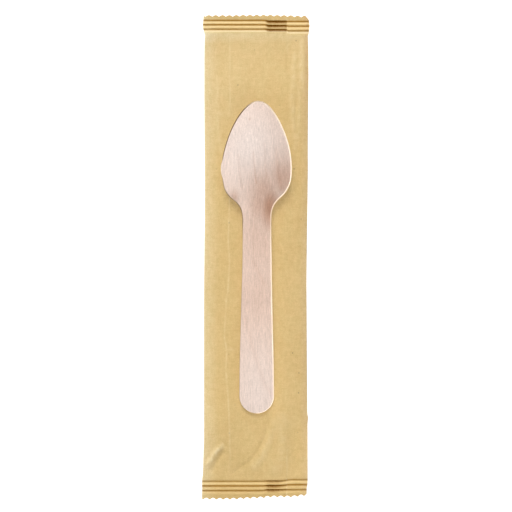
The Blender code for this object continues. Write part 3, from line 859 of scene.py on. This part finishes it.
def add_broad_face(mesh, layers, loop, inset, level):
    """The upper or the lower face, as rows of points across a ring, with one point at its tip and end."""
    share = 1 - 2 * np.arange(1, SPOON_COLUMNS) / SPOON_COLUMNS
    shade = np.full(len(share), UNDERSIDE_SHADE * (level < 0))
    last = len(OUTLINE) - 1
    rows = [[loop[0]]]
    for number in range(1, last):
        along = OUTLINE[number, 0] - inset * OUTWARD[number, 0]
        width = OUTLINE[number, 1] - inset * OUTWARD[number, 1]
        inner = add_wood(mesh, layers, veneer_points(along + 0 * share, width * share, level), 0.0, shade)
        rows.append([loop[number]] + inner + [loop[-number]])
    rows.append([loop[last]])
    for upper, lower in zip(rows, rows[1:]):
        for column in range(SPOON_COLUMNS):
            over = upper[column : column + 2] or upper
            under = lower[column : column + 2] or lower
            mesh.faces.new(over + under[::-1])


def spoon_mesh():
    """The spoon: an upper and a lower face joined by a rounded edge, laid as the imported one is."""
    rings = edge_rings()
    mesh = bmesh.new()
    layers = {name: mesh.verts.layers.float.new(name) for name in ("cut_edge", "edge_shade", "stain_and_shade", "pale")}
    loops = [add_ring(mesh, layers, inset, level) for inset, level in rings]
    for upper, lower in zip(loops, loops[1:]):
        for number in range(len(upper)):
            after = (number + 1) % len(upper)
            mesh.faces.new((upper[number], upper[after], lower[after], lower[number]))
    for end in (0, -1):
        add_broad_face(mesh, layers, loops[end], *rings[end])
    bmesh.ops.recalc_face_normals(mesh, faces=mesh.faces)
    pitch = math.atan2(BOWL_DEPTH, SPOON_LENGTH - BOWL_DEEPEST_AT)
    bmesh.ops.rotate(mesh, verts=mesh.verts, matrix=Matrix.Rotation(pitch, 3, "X"))
    middle = (SPOON_LOW.x + SPOON_HIGH.x) / 2
    lowest = min(vertex.co.z for vertex in mesh.verts)
    place = (middle, SPOON_SHIFT, SPOON_LOW.z - SPOON_DROP - lowest)
    bmesh.ops.translate(mesh, verts=mesh.verts, vec=place)
    return finished(mesh, "birch_spoon")


def finished(mesh, name):
    data = bpy.data.meshes.new(name)
    mesh.to_mesh(data)
    mesh.free()
    data.shade_smooth()
    data.set_sharp_from_angle(angle=math.radians(SHARP_ANGLE))
    return data


class Shader:
    """A short way to write the nodes of one material."""

    def __init__(self, name):
        self.material = bpy.data.materials.new(name)
        self.material.use_nodes = True
        self.tree = self.material.node_tree
        self.surface = self.tree.nodes["Principled BSDF"]
        place = self.node("ShaderNodeTexCoord").outputs["Object"]
        self.place = self.stretch(1 / MM, 1 / MM, 1 / MM, place)

    def feed(self, socket, value):
        if isinstance(value, bpy.types.NodeSocket):
            self.tree.links.new(value, socket)
        else:
            socket.default_value = value

    def node(self, kind, inputs=None, **settings):
        made = self.tree.nodes.new(kind)
        for name, value in settings.items():
            setattr(made, name, value)
        for name, value in (inputs or {}).items():
            self.feed(made.inputs[name], value)
        return made

    def stretch(self, x, y, z, place=None):
        """The object's places in millimetres, times x, y and z."""
        inputs = {"Vector": place or self.place, "Scale": (x, y, z)}
        return self.node("ShaderNodeMapping", inputs).outputs["Vector"]

    def along(self):
        """Place along the sachet and the spoon, in millimetres."""
        return self.node("ShaderNodeSeparateXYZ", {0: self.place}).outputs["Y"]

    def noise(self, stretch, scale, detail, roughness, distortion, ramp=None):
        inputs = {"Vector": self.stretch(*stretch), "Scale": scale, "Detail": detail}
        inputs.update({"Roughness": roughness, "Distortion": distortion})
        value = self.node("ShaderNodeTexNoise", inputs).outputs["Fac"]
        return self.span(value, *ramp) if ramp else value

    def patterns(self, table):
        return {name: self.noise(*settings) for name, settings in table.items()}

    def attribute(self, name):
        return self.node("ShaderNodeAttribute", attribute_name=name).outputs["Fac"]

    def math(self, operation, a, b=0.0):
        return self.node("ShaderNodeMath", {0: a, 1: b}, operation=operation).outputs[0]

    def product(self, *values):
        return functools.reduce(lambda a, b: self.math("MULTIPLY", a, b), values)

    def distance(self, value, middle):
        return self.math("ABSOLUTE", self.math("SUBTRACT", value, middle))

    def span(self, value, low, high, new_low=0.0, new_high=1.0):
        """value taken from low to high onto new_low to new_high, and held there beyond."""
        inputs = {"Value": value, "From Min": low, "From Max": high, "To Min": new_low, "To Max": new_high}
        return self.node("ShaderNodeMapRange", inputs).outputs["Result"]

    def blend(self, share, a, b):
        """Colour a where share is 0 and colour b where it is 1."""
        made = self.node("ShaderNodeMix", data_type="RGBA")
        self.feed(made.inputs["Factor"], share)
        colours = [socket for socket in made.inputs if socket.type == "RGBA"]
        self.feed(colours[0], a)
        self.feed(colours[1], b)
        return next(socket for socket in made.outputs if socket.type == "RGBA")

    def brightness(self, colour, factor):
        """colour times one number, or times one for each of red, green and blue."""
        return self.node("ShaderNodeVectorMath", {0: colour, 1: factor}, operation="MULTIPLY").outputs[0]

    def cover(self, colour, roughness, gloss):
        """Gives the surface its colour, roughness and gloss."""
        for name, value in (("Base Color", colour), ("Roughness", roughness), ("Specular IOR Level", gloss)):
            self.feed(self.surface.inputs[name], value)

    def relief(self, patterns, shares, height):
        """Fine relief of the surface, from some of its patterns."""
        total = 0.0
        for name, share in shares.items():
            total = self.math("ADD", total, self.product(patterns[name], share))
        inputs = {"Height": total, "Distance": height, "Strength": RELIEF_STRENGTH}
        self.feed(self.surface.inputs["Normal"], self.node("ShaderNodeBump", inputs).outputs["Normal"])


def paper_tones(shader):
    """Colour of the paper before its fibres: paler at the left, duller in the seals, bright beside them.

    Much of this is painted light and shade: at the sides and folds, at the top, on the bottom seal and above
    it.
    """
    along = shader.along()
    across = shader.attribute("across")
    slanted = shader.math("SUBTRACT", along, shader.product(across, TONE_SLANT))
    measures = {"across": across, "along": along, "slanted": slanted}
    colour = PAPER["plain"]
    for tone, ranges in PAPER_TONES.values():
        shares = [shader.span(measures[name], start, full) for name, (start, full) in ranges.items()]
        colour = shader.blend(shader.product(*shares), colour, tone)

    sealed = shader.brightness(colour, PAPER_SHADES["sealed"])
    # painted shade on the bottom seal
    sealed = shader.brightness(sealed, shader.span(along, *BOTTOM_SEAL_FADE, BOTTOM_SEAL_SHADE, 1))
    # painted light on the slope above the bottom seal
    at_foot = shader.span(shader.distance(along, FOOT_AT), *FOOT_FADE)
    at_foot = shader.product(at_foot, shader.span(across, *FOOT_LEFT))
    colour = shader.blend(at_foot, colour, shader.brightness(colour, PAPER_SHADES["foot_light"]))
    colour = shader.blend(shader.attribute("seal"), colour, sealed)
    under_seal = shader.product(shader.span(along, *UNDER_SEAL_FADE), shader.span(along, *UNDER_SEAL_END))
    under_seal = shader.product(under_seal, shader.span(across, *UNDER_SEAL_ACROSS))
    return shader.blend(under_seal, colour, shader.brightness(colour, PAPER_SHADES["under_top_seal"]))


def mottled(shader, colour, patterns):
    """colour with the paper's clouds, fibres and grain, and a slight change of tint."""
    mottle = 0.5
    for name, share in PAPER_MOTTLE.items():
        swing = shader.math("SUBTRACT", patterns[name], 0.5)
        mottle = shader.math("ADD", mottle, shader.product(swing, share))
    darker, lighter = (shader.brightness(colour, PAPER_SHADES[name]) for name in ("darker", "lighter"))
    colour = shader.blend(mottle, darker, lighter)
    yellower, redder = (shader.brightness(colour, PAPER_SHADES[name]) for name in ("yellower", "redder"))
    return shader.blend(patterns["tint"], yellower, redder)


def specked(shader, colour):
    """colour with the dark specks."""
    flat = shader.stretch(1, 1, 0)
    for x, y, strength in SPECKS:
        inputs = {0: flat, 1: (x, y, 0)}
        away = shader.node("ShaderNodeVectorMath", inputs, operation="DISTANCE").outputs["Value"]
        speck = shader.span(away, SPECK_RADIUS / 2, SPECK_RADIUS, SPECK_STRENGTH * strength, 0)
        colour = shader.blend(speck, colour, PAPER["speck"])
    return colour


def crimped(shader, colour, patterns, groove):
    """colour with painted highlight on the seals' ridges and dark grooves, partly painted shade, darkest over
    the fin.
    """
    # painted highlight on the ridges, paler on the innermost top one
    from_inner_ridge = shader.distance(shader.along(), INNER_RIDGE_AT)
    inner_share = shader.span(from_inner_ridge, *INNER_RIDGE_FADE)
    ridge_colour = shader.blend(inner_share, PAPER["inner_top_ridge"], PAPER["ridge"])
    colour = shader.blend(shader.product(shader.attribute("ridge"), RIDGE_HIGHLIGHT_STRENGTH), colour, ridge_colour)
    # dark grooves: partly pressed paper, partly painted shade
    colour = shader.blend(groove, colour, PAPER["groove"])
    # darker still over the fin: partly its extra layers, partly painted shade
    in_groove = shader.span(groove, *OVER_FIN_RAMP)
    over_fin = shader.product(shader.attribute("fin_zone"), patterns["breaks"], in_groove)
    return shader.blend(over_fin, colour, PAPER["groove_over_fin"])


def kraft_paper():
    shader = Shader("kraft_paper")
    patterns = shader.patterns(PAPER_PATTERNS)
    colour = mottled(shader, paper_tones(shader), patterns)
    colour = specked(shader, colour)
    # paler along the creases: partly rubbed paper, partly painted highlight
    pale_crease_and_highlight = shader.product(shader.attribute("pale"), patterns["pale_breaks"])
    colour = shader.blend(pale_crease_and_highlight, colour, PAPER["pale_crease_and_highlight"])
    groove = shader.product(shader.attribute("groove"), patterns["blotches"])
    colour = crimped(shader, colour, patterns, groove)
    roughness = shader.span(patterns["fibres_along"], *PAPER_ROUGHNESS)
    shader.cover(colour, roughness, shader.span(groove, *PAPER_GLOSS))
    shader.relief(patterns, PAPER_RELIEF, PAPER_RELIEF_HEIGHT)
    return shader.material


def birch_wood():
    shader = Shader("birch_wood")
    patterns = shader.patterns(WOOD_PATTERNS)
    colour = shader.blend(patterns["figure"], WOOD["darker"], WOOD["lighter"])
    # pale patches, partly painted light on the upper bowl and the right shoulder's rim
    colour = shader.blend(shader.attribute("pale"), colour, WOOD["pale"])
    # stains and grain lines of the wood, with painted shade in the bowl's lower right and at the neck
    colour = shader.blend(shader.attribute("stain_and_shade"), colour, shader.brightness(colour, STAINED_AND_SHADED_WOOD))
    shades = [shader.span(patterns[name], *ramp) for name, ramp in WOOD_SHADES.items()]
    colour = shader.brightness(colour, shader.product(*shades))

    from_shoulder = shader.distance(shader.along(), SHOULDER_EDGE_AT)
    rim_share = shader.span(from_shoulder, *SHOULDER_EDGE_FADE)
    rim = shader.blend(rim_share, WOOD["shoulder_edge"], WOOD["cut_edge"])
    colour = shader.blend(shader.attribute("cut_edge"), colour, rim)
    colour = shader.blend(shader.attribute("edge_shade"), colour, WOOD["shaded_edge"])
    shader.cover(colour, shader.span(patterns["streaks"], *WOOD_ROUGHNESS), WOOD_GLOSS)
    shader.relief(patterns, WOOD_RELIEF, WOOD_RELIEF_HEIGHT)
    return shader.material


def floor_paint():
    shader = Shader("studio_floor")
    shader.cover(FLOOR_GREY, FLOOR_ROUGHNESS, 0)
    shader.feed(shader.surface.inputs["Emission Color"], WHITE)
    shader.feed(shader.surface.inputs["Emission Strength"], FLOOR_GLOW)
    return shader.material


def add_piece(data, material, node):
    data.materials.append(material)
    piece = bpy.data.objects.new(data.name, data)
    bpy.context.scene.collection.objects.link(piece)
    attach(piece, "root")
    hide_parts(node)
    return piece


def add_floor():
    mesh = bmesh.new()
    bmesh.ops.create_grid(mesh, x_segments=1, y_segments=1, size=FLOOR_SIZE)
    data = bpy.data.meshes.new("studio_floor")
    mesh.to_mesh(data)
    mesh.free()
    data.materials.append(floor_paint())
    floor = bpy.data.objects.new("studio_floor", data)
    bpy.context.scene.collection.objects.link(floor)
    return floor


def add_camera():
    camera = bpy.data.cameras.new("camera")
    camera.sensor_width = SENSOR_WIDTH
    camera.lens = SENSOR_WIDTH * CAMERA_DISTANCE / PICTURE_WIDTH
    camera.clip_start, camera.clip_end = CAMERA_CLIP
    holder = bpy.data.objects.new("camera", camera)
    holder.location = (*PICTURE_CENTRE, CAMERA_DISTANCE)
    bpy.context.scene.collection.objects.link(holder)
    bpy.context.scene.camera = holder


def collection_of(name, pieces):
    group = bpy.data.collections.new(name)
    for piece in pieces:
        group.objects.link(piece)
    return group


def add_light(name, pieces):
    """A soft light from far away."""
    azimuth, elevation, spread, strength, lit, casting = LIGHTS[name]
    light = bpy.data.lights.new(name, "SUN")
    light.angle = math.radians(spread)
    light.energy = strength
    holder = bpy.data.objects.new(name, light)
    turn, tilt = math.radians(azimuth), math.radians(elevation)
    towards = Vector((math.cos(turn) * math.cos(tilt), math.sin(turn) * math.cos(tilt), math.sin(tilt)))
    holder.location = towards * LIGHT_DISTANCE
    holder.rotation_euler = towards.to_track_quat("Z", "Y").to_euler()
    bpy.context.scene.collection.objects.link(holder)
    linking = holder.light_linking
    linking.receiver_collection = collection_of(name + "_lit", [pieces[key] for key in lit])
    linking.blocker_collection = collection_of(name + "_casting", [pieces[key] for key in casting])


def add_sky():
    """A dim sky for soft light, with a bright band round the horizon as a pale backdrop."""
    world = bpy.data.worlds.new("studio")
    world.use_nodes = True
    nodes = world.node_tree.nodes
    place = nodes.new("ShaderNodeTexCoord")
    height = nodes.new("ShaderNodeSeparateXYZ")
    strength = nodes.new("ShaderNodeMapRange")
    low, high = HORIZON_BAND
    for name, value in {"From Min": low, "From Max": high, "To Min": 1.0, "To Max": SKY_STRENGTH}.items():
        strength.inputs[name].default_value = value
    background = nodes["Background"]
    background.inputs["Color"].default_value = WHITE
    links = world.node_tree.links
    links.new(place.outputs["Generated"], height.inputs[0])
    links.new(height.outputs["Z"], strength.inputs["Value"])
    links.new(strength.outputs["Result"], background.inputs["Strength"])
    bpy.context.scene.world = world


def main():
    pieces = {
        "sachet": add_piece(sachet_mesh(), kraft_paper(), "paper_sachet"),
        "spoon": add_piece(spoon_mesh(), birch_wood(), "wooden_spoon"),
        "floor": add_floor(),
    }
    add_camera()
    add_sky()
    for name in LIGHTS:
        add_light(name, pieces)
    view = bpy.context.scene.view_settings
    view.view_transform = "Standard"
    view.look = "None"


main()
